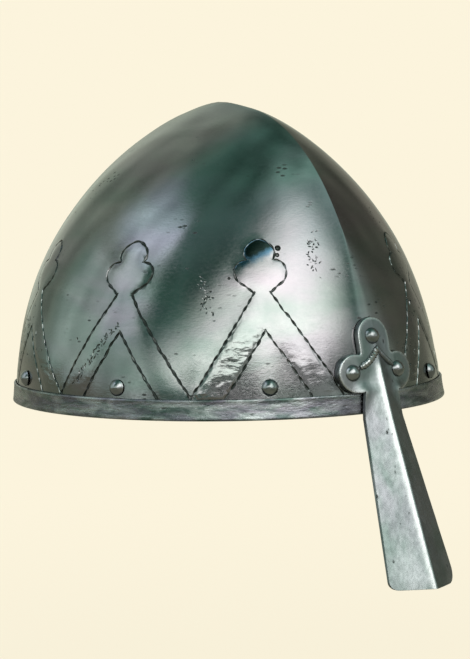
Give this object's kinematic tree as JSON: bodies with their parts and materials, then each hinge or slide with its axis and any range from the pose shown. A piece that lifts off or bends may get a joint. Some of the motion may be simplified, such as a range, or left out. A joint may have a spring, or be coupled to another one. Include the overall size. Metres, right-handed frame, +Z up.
{
  "type": "nasal helmet",
  "caption": "Steel nasal helmet: creased dome with chased lily frieze, folded rim band, riveted V-section nasal guard with trefoil plate, and leather liner.",
  "frame": {"origin": "centre of the head opening, in the plane of the rim's underside", "axes": "+Z up to the apex, -Y forward to the nasal guard, +X towards the wearer's left"},
  "size_m": [0.2066, 0.2708, 0.2215],
  "materials": {
    "skull_steel": "polished, darkened and mottled by age",
    "band_steel": "lightly hammered, darkened",
    "guard_steel": "satin, filed lengthwise",
    "rivet_steel": "polished round heads",
    "washer_steel": "plain",
    "liner_leather": "matt vegetable-tanned leather"
  },
  "bodies": {
    "root": {"skull": "skull_steel", "rim_band": "band_steel", "nasal_guard": "guard_steel", "guard_rivets": "rivet_steel", "guard_washers": "washer_steel", "rim_rivets": "rivet_steel", "rim_washers": "washer_steel", "liner_band": "liner_leather", "crown_patch": "liner_leather", "liner_tongue_1": "liner_leather", "liner_tongue_2": "liner_leather", "liner_tongue_3": "liner_leather", "liner_tongue_4": "liner_leather", "liner_tongue_5": "liner_leather", "liner_tongue_6": "liner_leather", "liner_tongue_7": "liner_leather", "liner_tongue_8": "liner_leather"}
  },
  "joints": []
}
